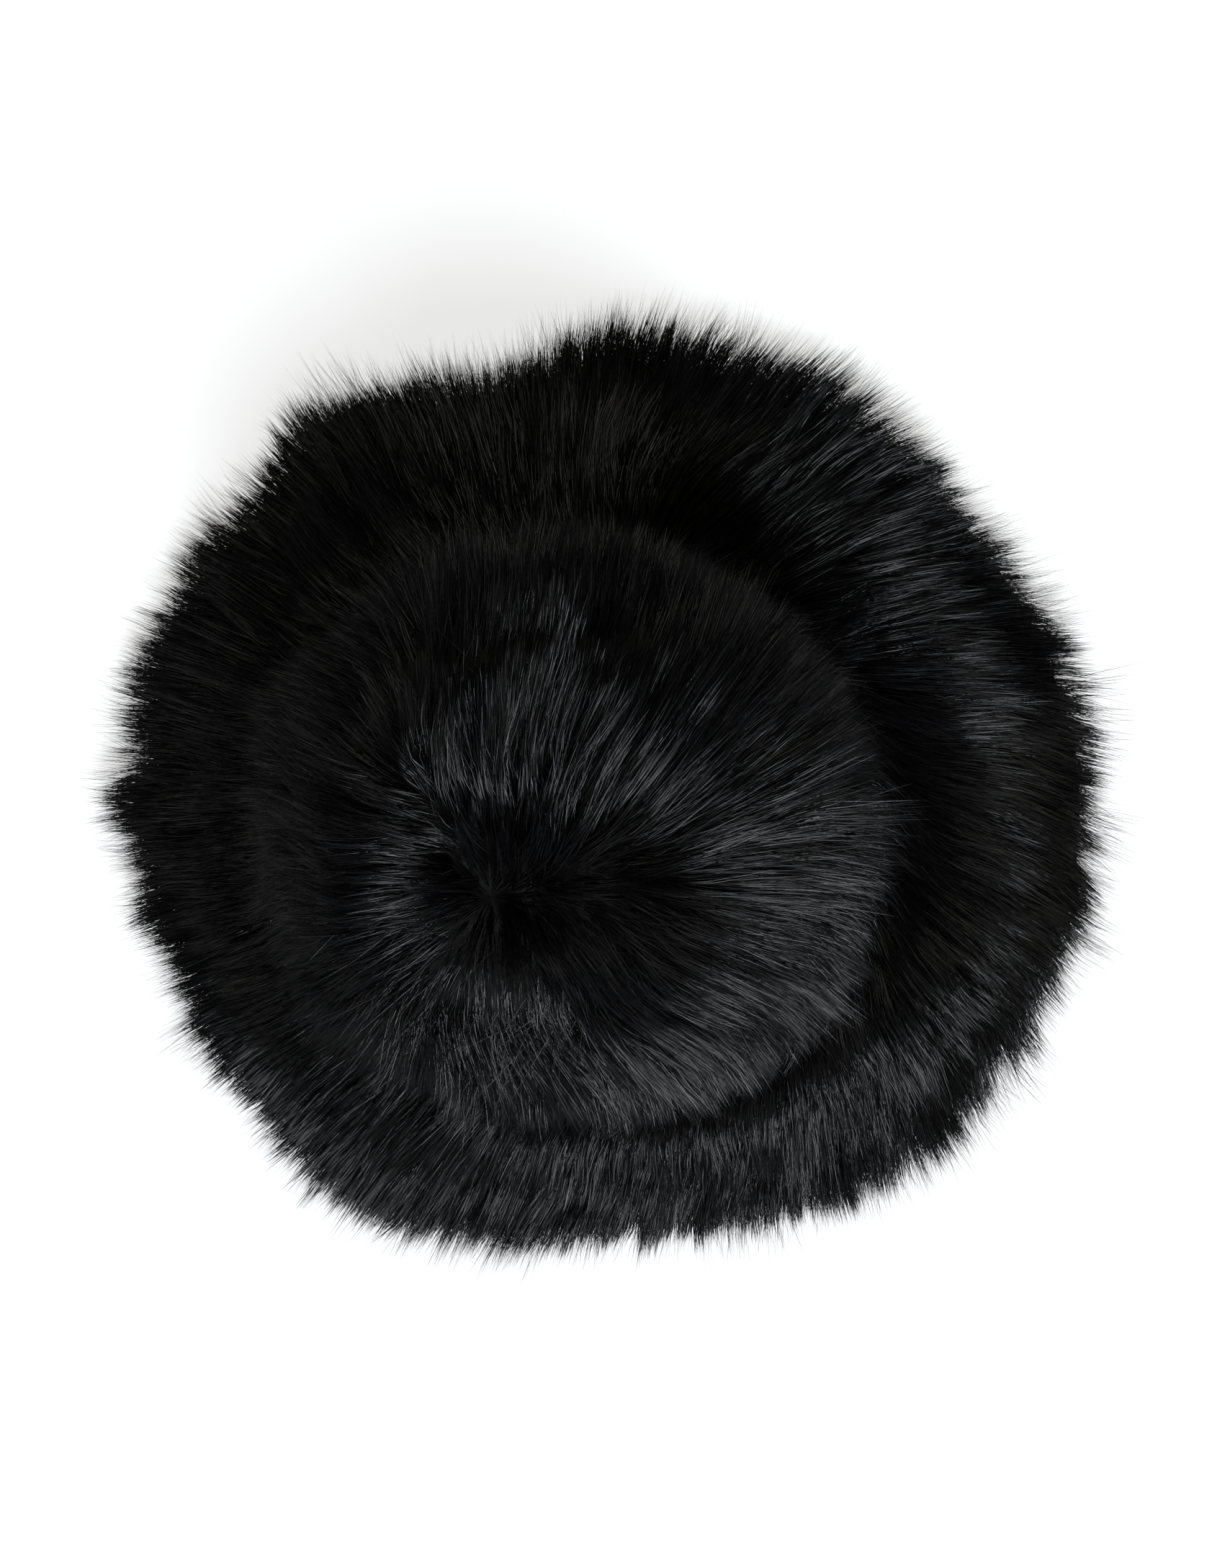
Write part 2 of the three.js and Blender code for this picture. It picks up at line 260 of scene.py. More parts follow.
    def place(self, along: Array, bearing: Array, height: Array) -> Array:
        """Points on or over the cloth.

        Args:
            along: Distance from the whorl along the cloth.
            bearing: Direction round the hat.
            height: Height in the pile, over the cloth's outer face.

        Returns:
            Points in metres, with x, y and z last.
        """
        given = (np.asarray(value, float) for value in (along, bearing, height))
        along, bearing, height = np.broadcast_arrays(*given)
        lean = np.interp(along, self.table[:, 0], self.table[:, 3])
        r = self.radius(along) + height * np.sin(lean)
        z = np.interp(along, self.table[:, 0], self.table[:, 2]) + height * np.cos(lean)
        for dent in self.dents:
            deep = dent.depth * hill(bearing - dent.bearing, dent.wide) * hill(along - dent.along, dent.long)
            r = r - deep * np.sin(lean)
            z = z - deep * np.cos(lean)
        flared = smoothstep(along, self.seams[Seam.SIDE], self.seams[Seam.HEM] - self.foot)
        midway = flared * (1.0 - flared) * 4.0
        for wave in self.waves:
            swell = hill(bearing - wave.bearing, wave.width)
            r = r + wave.out * swell * flared
            z = z + wave.up * swell * midway
        crown = 1.0 - smoothstep(along, self.seams[Seam.TIP] / 2, self.seams[Seam.SIDE])
        uphill = np.cos(np.radians(bearing - self.tilt_bearing))
        z = z + (self.tilt_rise * r * uphill - self.tilt_drop) * crown
        stretch = self.oval_stretch + self.oval_crown * crown
        r = r * (1.0 + stretch * np.cos(np.radians(2 * (bearing - self.oval_bearing))))
        slid_x, slid_y = self.slide(along)
        x = r * np.cos(np.radians(bearing)) + slid_x + self.centre_x
        y = r * np.sin(np.radians(bearing)) + slid_y + self.centre_y
        return np.stack([x, y, np.maximum(z, 0.0)], axis=-1) * MM

    def outward(self, along: Array, bearing: Array, height: Array) -> Array:
        """The way out of the pile at these points, felt between two heights over each."""
        low, high = self.feel
        return unit(self.place(along, bearing, height + high) - self.place(along, bearing, height + low))


@dataclass(frozen=True)
class CombRow:
    """How far the pile at a bearing turns, counter-clockwise, off the straight way down the cloth."""

    bearing: float
    turn: float


@dataclass
class Comb:
    """The way the pile lies all over the hat, as a table for the crown and one for the brim.

    The tables blend into each other this far on either side of the seam. Near is the least distance from the
    whorl that the turn of a path is worked out from.
    """

    form: HatForm
    crown: tuple[CombRow, ...] = (
        CombRow(5, -12), CombRow(32, 20), CombRow(56, 22), CombRow(104, -9), CombRow(118, -19),
        CombRow(138, 34), CombRow(168, 12), CombRow(207, 3), CombRow(230, 0), CombRow(250, 10),
        CombRow(266, 6), CombRow(284, -6), CombRow(307, -12), CombRow(330, -25), CombRow(352, -27),
    )
    brim: tuple[CombRow, ...] = (
        CombRow(0, -40), CombRow(42, -38), CombRow(66, -32), CombRow(92, -4), CombRow(112, 6),
        CombRow(135, 10), CombRow(180, 10), CombRow(225, -4), CombRow(256, -20), CombRow(285, -30),
        CombRow(315, -42), CombRow(338, -44),
    )
    near: float = 6.0
    blend: float = 4.0

    @staticmethod
    def between(rows: tuple[CombRow, ...], bearing: Array) -> Array:
        """The turn that a table gives.

        Args:
            rows: The table, in the order of its bearings.
            bearing: The bearings to look up.

        Returns:
            The turn at each bearing, in degrees.
        """
        stops = np.array([row.bearing for row in rows])
        turns = np.array([row.turn for row in rows])
        at = np.mod(bearing - stops[0], 360.0)
        stops = np.append(stops - stops[0], 360.0)
        turns = np.append(turns, turns[0])
        after = np.clip(np.searchsorted(stops, at, side="right"), 1, len(rows))
        share = (at - stops[after - 1]) / (stops[after] - stops[after - 1])
        return mixed(turns[after - 1], turns[after], smoothstep(share, 0.0, 1.0))

    def turn(self, along: Array, bearing: Array) -> Array:
        """The turn of the pile, which changes over from the crown's table to the brim's.

        Args:
            along: Distances along the cloth.
            bearing: Bearings round the hat.

        Returns:
            The turn at each place, in degrees.
        """
        side = self.form.seams[Seam.SIDE]
        on_brim = smoothstep(along, side - self.blend, side + self.blend)
        return mixed(self.between(self.crown, bearing), self.between(self.brim, bearing), on_brim)

    def walk(self, along: Array, bearing: Array, turn: Array, length: Array,
             steps: int) -> tuple[Array, Array]:
        """Follows the comb from these places.

        Args:
            along: Where each path starts along the cloth.
            bearing: Where each path starts round the hat.
            turn: The extra turn of each path, in degrees.
            length: The length of each path.
            steps: How many straight steps it is walked in.

        Returns:
            The new distances along the cloth and the new bearings.
        """
        step = length / steps
        for _ in range(steps):
            way = np.radians(turn + self.turn(along, bearing))
            along = along + step * np.cos(way)
            bearing = bearing + np.degrees(step * np.sin(way) / np.maximum(np.abs(along), self.near))
        return along, bearing


# Finishes

class Nodes:
    """Lays out the nodes of one material."""

    def __init__(self, name: str) -> None:
        """Starts a material with a surface shader alone.

        Args:
            name: The material's name.
        """
        self.material = bpy.data.materials.new(name)
        self.material.use_nodes = True
        self.tree = self.material.node_tree
        self.shader = self.tree.nodes["Principled BSDF"]

    def add(self, kind: str, **values: object) -> bpy.types.Node:
        """Adds a node and sets its properties.

        Args:
            kind: The node's type.
            **values: Its properties by name.

        Returns:
            The new node.
        """
        node = self.tree.nodes.new(kind)
        for key, value in values.items():
            setattr(node, key, value)
        return node

    def link(self, source: Socket, target: Socket) -> None:
        """Joins an output to an input."""
        self.tree.links.new(source, target)

    def feed(self, socket: Socket, value: object) -> None:
        """Gives an input a value, or the output that it comes from.

        Args:
            socket: The input.
            value: A number, a colour or an output.
        """
        if isinstance(value, Socket):
            self.link(value, socket)
        else:
            socket.default_value = value

    def fed(self, node: bpy.types.Node, where: tuple[int, ...], values: tuple[object, ...]) -> bpy.types.Node:
        """Gives several inputs of a node their values.

        Args:
            node: The node.
            where: The places of the inputs in its list.
            values: What each of them gets.

        Returns:
            The same node.
        """
        for place, value in zip(where, values):
            self.feed(node.inputs[place], value)
        return node

    def math(self, operation: str, a: object, b: object = 0.0) -> Socket:
        """A sum of two values."""
        return self.fed(self.add("ShaderNodeMath", operation=operation), (0, 1), (a, b)).outputs[0]

    def ranged(self, value: object, low: float, high: float, to_low: float, to_high: float) -> Socket:
        """Maps a value from one range to another, and holds it there.

        Args:
            value: The value.
            low: Where the first range starts.
            high: Where it ends.
            to_low: Where the second range starts.
            to_high: Where it ends.

        Returns:
            The mapped value.
        """
        node = self.add("ShaderNodeMapRange", clamp=True)
        return self.fed(node, (0, 1, 2, 3, 4), (value, low, high, to_low, to_high)).outputs[0]

    def blend(self, share: object, a: object, b: object, how: str = "MIX") -> Socket:
        """Mixes two colours.

        Args:
            share: How much of the second there is.
            a: The first colour.
            b: The second colour.
            how: The way of mixing.

        Returns:
            The mixed colour.
        """
        node = self.add("ShaderNodeMix", data_type="RGBA", blend_type=how)
        return self.fed(node, (0, 6, 7), (share, a, b)).outputs[2]

    def noise(self, where: Socket, scale: float, detail: float = 2.0) -> Socket:
        """Cloudy noise.

        Args:
            where: The coordinates.
            scale: How many clouds there are to a unit.
            detail: How finely they are broken up.

        Returns:
            A value from 0 to 1.
        """
        node = self.add("ShaderNodeTexNoise")
        self.link(where, node.inputs["Vector"])
        node.inputs["Scale"].default_value = scale
        node.inputs["Detail"].default_value = detail
        return node.outputs[0]

    def stretched(self, where: Socket, scale: tuple[float, float, float]) -> Socket:
        """Coordinates scaled by axis.

        Args:
            where: The coordinates.
            scale: The scale of each axis.

        Returns:
            The new coordinates.
        """
        node = self.add("ShaderNodeMapping")
        self.link(where, node.inputs["Vector"])
        node.inputs["Scale"].default_value = scale
        return node.outputs[0]

    def bump(self, height: Socket, distance: float, strength: float) -> None:
        """Gives the surface a relief.

        Args:
            height: The relief, from 0 to 1.
            distance: How deep it is, in metres.
            strength: How much of it is felt.
        """
        node = self.add("ShaderNodeBump")
        self.link(height, node.inputs["Height"])
        node.inputs["Distance"].default_value = distance
        node.inputs["Strength"].default_value = strength
        self.link(node.outputs[0], self.shader.inputs["Normal"])

    def paint(self, colour: object, rough: object, specular: float) -> None:
        """Gives the surface its colour, its roughness and its gloss.

        Args:
            colour: The base colour.
            rough: The roughness.
            specular: The strength of the gloss.
        """
        self.feed(self.shader.inputs["Base Color"], colour)
        self.feed(self.shader.inputs["Roughness"], rough)
        self.feed(self.shader.inputs["Specular IOR Level"], specular)

    def places(self, kind: str = "Object") -> Socket:
        """The texture coordinates of this kind."""
        return self.add("ShaderNodeTexCoord").outputs[kind]


def opaque(colour: Colour) -> tuple[float, float, float, float]:
    """A colour with full cover."""
    return (*colour, 1.0)


@dataclass(frozen=True)
class PileFinish:
    """Glossy black acrylic strands, browner in patches, each a little lighter or darker than the next."""

    name: str = "black_pile"
    root: Colour = (0.0006, 0.0005, 0.0005)
    tip: Colour = (0.0013, 0.00135, 0.0016)
    warm: Colour = (0.0018, 0.0016, 0.0012)
    smooth: float = 0.14
    rough: float = 0.4
    specular: float = 0.1
    changes: Span = (0.15, 0.8)
    strand_tones: Span = (0.2, 2.2)
    lock_tones: Span = (0.5, 1.6)
    patches: float = 9.0
    patch_edge: Span = (0.52, 0.75)
    patch_most: float = 0.6

    def material(self) -> bpy.types.Material:
        """Makes the strands' material.

        Returns:
            The material, which reads each strand's tones from its point colours.
        """
        n = Nodes(self.name)
        strand = n.add("ShaderNodeAttribute", attribute_name="strand")
        parts = n.add("ShaderNodeSeparateColor")
        n.link(strand.outputs["Color"], parts.inputs[0])
        tone, reach, lock = parts.outputs
        body = n.blend(n.ranged(reach, *self.changes, 0.0, 1.0), opaque(self.root), opaque(self.tip))
        patch = n.ranged(n.noise(n.places(), self.patches), *self.patch_edge, 0.0, self.patch_most)
        body = n.blend(patch, body, opaque(self.warm))
        shade = n.math("MULTIPLY", n.ranged(tone, 0.0, 1.0, *self.strand_tones),
                       n.ranged(lock, 0.0, 1.0, *self.lock_tones))
        grey = n.fed(n.add("ShaderNodeCombineColor"), (0, 1, 2), (shade, shade, shade))
        n.paint(n.blend(1.0, body, grey.outputs[0], "MULTIPLY"),
                n.ranged(tone, 0.0, 1.0, self.smooth, self.rough), self.specular)
        return n.material


@dataclass(frozen=True)
class DownFinish:
    """The matt, dense short pile between the long strands."""

    name: str = "black_down"
    dark: Colour = (0.0006, 0.0006, 0.0006)
    light: Colour = (0.0020, 0.0018, 0.0018)
    grain: float = 1400.0
    lie: float = 0.16
    detail: float = 3.0
    clumps: float = 160.0
    clump_edge: Span = (0.3, 0.7)
    clump_tones: Span = (0.5, 1.3)
    rough: Span = (0.7, 0.95)
    specular: float = 0.12
    depth: float = 0.0012
    relief: float = 0.9

    def material(self) -> bpy.types.Material:
        """Makes the short pile's material.

        Returns:
            The material, whose hairs lie along the panel's flat pattern.
        """
        n = Nodes(self.name)
        hairs = n.noise(n.stretched(n.places("UV"), (1.0, self.lie, 1.0)), self.grain, self.detail)
        clumps = n.noise(n.places(), self.clumps)
        share = n.math("MULTIPLY", hairs, n.ranged(clumps, *self.clump_edge, *self.clump_tones))
        n.paint(n.blend(share, opaque(self.dark), opaque(self.light)),
                n.ranged(hairs, 0.0, 1.0, *self.rough), self.specular)
        n.bump(hairs, self.depth, self.relief)
        return n.material


@dataclass(frozen=True)
class KnitFinish:
    """The plain black knitted backing with its courses and wales, seen inside the hat."""

    name: str = "black_knit"
    dark: Colour = (0.006, 0.006, 0.0065)
    light: Colour = (0.021, 0.021, 0.022)
    course: float = 0.0013
    wale: float = 0.0011
    slant: float = 1.4
    ridge: float = 0.2
    loop_share: float = 0.4
    fuzz: float = 900.0
    fuzz_detail: float = 3.0
    fuzz_share: float = 0.35
    fuzz_edge: Span = (0.3, 0.7)
    highest: float = 1.1
    rough: Span = (0.82, 0.97)
    specular: float = 0.2
    sheen: float = 0.04
    sheen_rough: float = 0.5
    depth: float = 0.0003
    relief: float = 0.8

    def material(self) -> bpy.types.Material:
        """Makes the backing's material.

        Returns:
            The material, which is laid out in metres on the cut panel.
        """
        n = Nodes(self.name)
        parts = n.add("ShaderNodeSeparateXYZ")
        n.link(n.places("UV"), parts.inputs[0])
        across, down = parts.outputs[0], parts.outputs[1]
        turn = 2 * math.pi
        wales = n.math("SINE", n.math("MULTIPLY", across, turn / self.wale))
        lean = n.math("MULTIPLY", n.math("ABSOLUTE", wales), self.slant)
        courses = n.math("SINE", n.math("ADD", n.math("MULTIPLY", down, turn / self.course), lean))
        loops = n.math("MULTIPLY", n.math("ADD", courses, 1.0),
                       n.math("ADD", n.math("ABSOLUTE", wales), self.ridge))
        fuzz = n.noise(n.places(), self.fuzz, self.fuzz_detail)
        height = n.math("ADD", n.math("MULTIPLY", loops, self.loop_share),
                        n.math("MULTIPLY", fuzz, self.fuzz_share))
        # The colour follows the relief: the loops are lighter and the hollows between them darker, which is
        # painted shade. The fuzz adds a random tone on top.
        n.paint(n.blend(n.ranged(height, 0.0, self.highest, 0.0, 1.0), opaque(self.dark), opaque(self.light)),
                n.ranged(fuzz, *self.fuzz_edge, *self.rough), self.specular)
        n.feed(n.shader.inputs["Sheen Weight"], self.sheen)
        n.feed(n.shader.inputs["Sheen Roughness"], self.sheen_rough)
        n.bump(height, self.depth, self.relief)
        return n.material


@dataclass(frozen=True)
class FloorFinish:
    """A plain pale floor."""

    name: str = "pale_floor"
    colour: Colour = (0.2, 0.2, 0.2)
    speck: float = 30.0
    speck_tone: float = 0.985
    rough: float = 0.8
    specular: float = 0.1
    glow: float = 0.7

    def material(self) -> bpy.types.Material:
        """Makes the floor's material.

        Returns:
            The material, whose glow is seen but throws no light up at the hat.
        """
        n = Nodes(self.name)
        darker = tuple(part * self.speck_tone for part in self.colour)
        tint = n.blend(n.noise(n.places(), self.speck), opaque(self.colour), opaque(darker))
        n.paint(tint, self.rough, self.specular)
        n.feed(n.shader.inputs["Emission Color"], opaque((1.0, 1.0, 1.0)))
        seen = n.add("ShaderNodeLightPath").outputs["Is Camera Ray"]
        n.link(n.math("MULTIPLY", seen, self.glow), n.shader.inputs["Emission Strength"])
        return n.material


# Meshes

class Side(Enum):
    """The part of the hat that a piece of long pile covers, as bearings from and to."""

    ALL = (0.0, 360.0)
    FRONT = (180.0, 360.0)
    BACK = (0.0, 180.0)
    FRONT_LEFT = (180.0, 270.0)
    FRONT_RIGHT = (270.0, 360.0)
    BACK_RIGHT = (0.0, 90.0)
    BACK_LEFT = (90.0, 180.0)

    def holds(self, bearing: Array) -> Array:
        """Whether each bearing lies in this part."""
        at = np.mod(bearing, 360.0)
        return (at >= self.value[0]) & (at < self.value[1])


class Slot(Enum):
    """What a piece is made of, as its solid's slot names it."""

    BACKING = "backing"
    PILE = "pile"


def new_mesh(name: str, points: Array, corners: Array, starts: Array) -> bpy.types.Object:
    """Makes an object of a smooth mesh from arrays.

    Args:
        name: The object's name.
        points: The vertices, in metres.
        corners: The vertex of each corner, face after face.
        starts: The first corner of each face.

    Returns:
        The new object, in the scene.
    """
    mesh = bpy.data.meshes.new(name)
    mesh.vertices.add(len(points))
    mesh.vertices.foreach_set("co", points.astype(np.float32).ravel())
    mesh.loops.add(len(corners))
    mesh.loops.foreach_set("vertex_index", corners.astype(np.int32).ravel())
    mesh.polygons.add(len(starts))
    mesh.polygons.foreach_set("loop_start", starts.astype(np.int32))
    mesh.update(calc_edges=True)
    mesh.validate()
    mesh.polygons.foreach_set("use_smooth", np.ones(len(mesh.polygons), bool))
    made = bpy.data.objects.new(name, mesh)
    bpy.context.scene.collection.objects.link(made)
    return made


def finish_piece(piece: bpy.types.Object, material: bpy.types.Material, node: str) -> None:
    """Dresses a piece, rides it on the hat and lets it stand for its solid.

    Args:
        piece: The new piece.
        material: Its material.
        node: The solid that it stands for.
    """
    piece.data.materials.append(material)
    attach(piece, "root")
    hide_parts(node)


@dataclass
class Shell:
    """A closed ring or cap of cloth or short pile that follows the hat's form.

    Its outline is turned round the hat in this many steps, and its top can be rough. The hub is how far the
    point that closes a cap lies off the flat pattern.
    """

    form: HatForm
    name: str
    node: str
    kind: Slot
    outline: list[Span]
    rough: float = 0.0
    around: int = 160
    seed: int = 5
    hub: float = 4.0

    def build(self, material: bpy.types.Material) -> bpy.types.Object:
        """Turns the outline, of distances along the cloth and heights, once round the hat.

        Args:
            material: What the shell is made of.

        Returns:
            The dressed piece.
        """
        outline = np.array(self.outline)
        cap = outline[0, 0] <= 0.0
        rows = outline[1:-1] if cap else outline
        bearing = np.arange(self.around) * 360.0 / self.around
        along = np.repeat(rows[:, :1], self.around, axis=1)
        height = np.repeat(rows[:, 1:], self.around, axis=1)
        if self.rough:
            draw = np.random.default_rng(self.seed)
            proud = rows[:, 1:] > 0.0
            height = height + np.where(proud, draw.uniform(-self.rough, self.rough, height.shape), 0.0)
        points = self.form.place(along, bearing[None, :], height).reshape(-1, 3)
        count = len(rows)
        last = count if not cap else count - 1
        i, j = np.meshgrid(np.arange(last), np.arange(self.around), indexing="ij")
        down, right = (i + 1) % count, (j + 1) % self.around
        quads = np.stack([i * self.around + j, i * self.around + right,
                          down * self.around + right, down * self.around + j], axis=-1).reshape(-1, 4)
        corners, starts = quads.ravel(), np.arange(len(quads)) * 4
        if cap:
            ends = self.form.place(outline[[0, -1], 0], 0.0, outline[[0, -1], 1])
            first, final = len(points), len(points) + 1
            points = np.vstack([points, ends])
            ring = np.arange(self.around)
            after = (ring + 1) % self.around
            low = np.stack([np.full_like(ring, first), after, ring], axis=-1)
            high = np.stack([np.full_like(ring, final), (count - 1) * self.around + ring,
                             (count - 1) * self.around + after], axis=-1)
            tris = np.vstack([low, high])
            starts = np.concatenate([starts, len(corners) + np.arange(len(tris)) * 3])
            corners = np.concatenate([corners, tris.ravel()])
        made = new_mesh(self.name, points, corners, starts)
        self.lay_out(made.data, rows, cap, last)
        finish_piece(made, material, self.node)
        return made

    def lay_out(self, mesh: bpy.types.Mesh, rows: Array, cap: bool, last: int) -> None:
        """Gives the shell a flat pattern in metres: round the hat one way, along its outline the other.

        Args:
            mesh: The shell's mesh.
            rows: Its outline without the points that close a cap.
            cap: Whether it is closed in the middle.
            last: How many rows of faces it has.
        """
        steps = np.linalg.norm(np.diff(np.vstack([rows, rows[:1]]), axis=0), axis=1)
        run = np.concatenate([[0.0], np.cumsum(steps)]) * MM
        reach = self.form.radius(rows[:, 0]).mean() * 2 * math.pi * MM
        i, j = np.meshgrid(np.arange(last), np.arange(self.around), indexing="ij")
        u = np.stack([j, j + 1, j + 1, j], axis=-1) / self.around * reach
        v = np.stack([run[i], run[i], run[i + 1], run[i + 1]], axis=-1)
        flat = np.stack([u, v], axis=-1).reshape(-1, 2)
        if cap:
            ring, rim = np.arange(self.around, dtype=float), np.zeros(self.around)
            for hub, first, second, base in ((-self.hub, 1, 0, 0.0), (self.hub, 0, 1, run[-2])):
                u = np.stack([ring + 0.5, ring + first, ring + second], axis=-1) * (reach / self.around)
                v = np.stack([rim + hub, rim, rim], axis=-1) * MM + base
                flat = np.vstack([flat, np.stack([u, v], axis=-1).reshape(-1, 2)])
        layer = mesh.uv_layers.new(name="pattern")
        layer.data.foreach_set("uv", flat.astype(np.float32).ravel())


@dataclass(frozen=True)
class PileRow:
    """The long pile at a share of the way down a panel.

    Its length, its tips' height, its arch, how straight it stays, how soon it has risen (1 is evenly), and
    how much of its own fall is taken out where it stays straight.
    """

    down: float
    length: float
    tip: float
    arch: float
    stiff: float
    rise: float = 4.5
    level: float = 0.0


@dataclass(frozen=True)
class Parting:
    """A line across the crown where the strands above it rise and end over a gap of low pile.

    Its bearing and place along the cloth, how wide it is, the gap below it, and how far all this is done.
    Then how much the strands above it are lifted, how soon they have risen, how far above it that starts and
    at what share of this it is full, how unevenly they end, their least length, and how softly the gap opens
    and closes.
    """

    bearing: float
    along: float
    wide: float
    gap: float
    depth: float
    lift: float = 0.6
    even: float = 0.8
    before: float = 42.0
    full_at: float = 0.6
    uneven: float = 3.0
    shortest: float = 14.0
    opens: Span = (-3.0, 1.0)
    closes: float = 8.0


@dataclass(frozen=True)
class Tuft:
    """A place where the strands grow in another way.

    Its bearing and place along the cloth and its size both ways. Then how much higher the strands stand, how
    soon they have risen (0 is no change), how steeply they climb, and how much shorter and fewer they are.
    """

    bearing: float
    along: float
    wide: float
    long: float
    lift: float = 0.0
    even: float = 0.0
    climb: float = 0.0
    short: float = 0.0
    thin: float = 0.0


@dataclass
class LongPile:
    """The long strands of one panel, growing in locks that part, overlap and end in loose tips.

    Attributes:
        start: Where the roots start along the cloth, and end is where they end.
        wide: A strand's width, varied by widths.
        gather: How far a lock's strands close up on the way to the share closed of its length.
        spread: How far roots stand from their lock's, as a share of the distance between locks.
        scatter: How far locks stand off an even spread, as such a share.
        wander: How far each lock turns at random, and loose is how far each strand does.
        sway: How far neighbouring locks turn together, with swell and stretch for height and length.
        drift: The sizes and weights of these shared changes, of drift_waves waves, held to drift_most.
        low: The lowest lock's height as a share of its row's, and high is the highest lock's.
        toss: How unevenly locks climb.
        lock_lengths: How the locks' lengths vary. Then lengths, tips and caps vary those of strands.
        sag: How far the end of a straight strand hangs.
        least: The least share of its height that a strand keeps in a parting.
        tallest: No tip stands higher than this.
        probe: How far past its first bend a strand's own direction is felt.
        root: How high over the cloth strands start.
        rest: The least height over the floor, and how much of it more there can be.
        overlap: How far roots may stand before the start, though never nearer to the whorl than hole.
        inmost: Nearer to the axis than this, nothing is spread out over a wider angle.
        stops: The shares of a strand's length where it can bend, reached in this many strides each.
        roll: How far a ribbon is turned about its strand, and round_off is how round it is shaded.
        taper: Its width at shares of its length.
        patch: The sides of a strand's patch on the map, and patch_long is where it starts and how long it is.
    """

    form: HatForm
    comb: Comb
    name: str
    node: str
    start: float
    end: float
    locks: int
    strands: int
    rows: tuple[PileRow, ...]
    sides: tuple[Side, ...]
    seed: int
    partings: tuple[Parting, ...] = ()
    tufts: tuple[Tuft, ...] = ()
    wide: float = 0.3
    widths: Span = (0.75, 1.2)
    gather: float = 0.7
    closed: float = 0.9
    spread: float = 0.62
    scatter: float = 0.3
    wander: float = 4.5
    loose: float = 2.5
    sway: float = 8.0
    swell: float = 0.16
    stretch: float = 0.1
    drift: tuple[Span, ...] = ((34.0, 1.0), (15.0, 0.7))
    drift_waves: int = 7
    drift_most: float = 1.6
    low: float = 0.55
    high: float = 1.08
    toss: float = 0.09
    lock_lengths: Span = (0.88, 1.1)
    lengths: Span = (0.75, 1.06)
    tips: Span = (0.7, 1.05)
    caps: Span = (0.75, 1.0)
    sag: float = 0.25
    least: float = 0.25
    tallest: float = 30.0
    probe: float = 0.12
    root: float = 0.4
    rest: Span = (0.3, 0.6)
    overlap: float = 2.0
    hole: float = 0.5
    inmost: float = 8.0
    stops: tuple[float, ...] = (0.0, 0.3, 0.65, 1.0)
    strides: int = 3
    roll: float = 38.0
    round_off: float = 24.0
    taper: tuple[Span, ...] = ((0.0, 0.8), (0.3, 1.0), (0.75, 0.8), (1.0, 0.0))
    patch: Span = (0.2, 0.8)
    patch_long: Span = (0.1, 0.8)

    def pitch(self, samples: int) -> float:
        """The usual distance between neighbouring locks, from this many samples of the panel's radius."""
        radius = self.form.radius(np.linspace(self.start, self.end, samples)).mean()
        return math.sqrt((self.end - self.start) * 2 * math.pi * radius / self.locks)

    def lock_places(self, draw: np.random.Generator) -> tuple[Array, Array]:
        """Spreads the locks evenly over the panel.

        Args:
            draw: The source of chance.

        Returns:
            Their distances along the cloth and their bearings.
        """
        along = np.linspace(self.start, self.end, 400)
        area = np.cumsum(self.form.radius(along) + 1.0)
        order = np.arange(self.locks)
        share = (order + 0.5) / self.locks
        spot = np.interp(share * area[-1], area, along)
        off = self.scatter * self.pitch(len(along))
        spot = spot + draw.normal(0.0, off, self.locks)
        aside = draw.normal(0.0, off, self.locks) / np.maximum(spot, self.inmost)
        bearing = order * GOLDEN + np.degrees(aside)
        return np.clip(spot, self.start, self.end), bearing

    def drifts(self, draw: np.random.Generator, along: Array, bearing: Array) -> tuple[Array, Array, Array]:
        """Slow, even drifts over the panel that neighbouring locks share.

        Args:
            draw: The source of chance.
            along: The locks' distances along the cloth.
            bearing: The locks' bearings.

        Returns:
            Three fields of about -1 to 1: for the locks' turn, height and length.
        """
        spots = self.form.place(along, bearing, 0.0) / MM
        fields = []
        for _ in range(3):
            total = np.zeros(len(along))
            for scale, weight in self.drift:
                waves = unit(draw.normal(size=(self.drift_waves, 3))) * (2 * math.pi / scale)
                phase = draw.uniform(0.0, 2 * math.pi, self.drift_waves)
                swing = np.sin(spots @ waves.T + phase).sum(axis=1)
                total = total + weight * swing / math.sqrt(self.drift_waves)
            fields.append(np.clip(total, -self.drift_most, self.drift_most))
        return fields[0], fields[1], fields[2]

    def by_row(self, along: Array, what: str) -> Array:
        """A column of the rows table, at these distances along the cloth."""
        stops = [mixed(self.start, self.end, row.down) for row in self.rows]
        return np.interp(along, stops, [getattr(row, what) for row in self.rows])

    def tufted(self, along: Array, bearing: Array, rise: Array) -> tuple[Array, Array, Array, Array, Array]:
        """How the tufts change the strands.

        Args:
            along: The roots' distances along the cloth.
            bearing: The roots' bearings.
            rise: How soon the strands have risen.

        Returns:
            The shares of its height and length that each strand gets, how soon it has risen, its climb, and
            the chance that it is there.
        """
        taller, shorter, dense = np.ones((3, len(along)))
        climb = np.zeros(len(along))
        for tuft in self.tufts:
            weight = hill(bearing - tuft.bearing, tuft.wide) * hill(along - tuft.along, tuft.long)
            taller = taller * (1.0 + tuft.lift * weight)
            shorter = shorter * (1.0 - tuft.short * weight)
            climb = climb + tuft.climb * weight
            dense = dense * (1.0 - tuft.thin * weight)
            rise = mixed(rise, tuft.even, weight if tuft.even else 0.0)
        return taller, shorter, rise, climb, dense

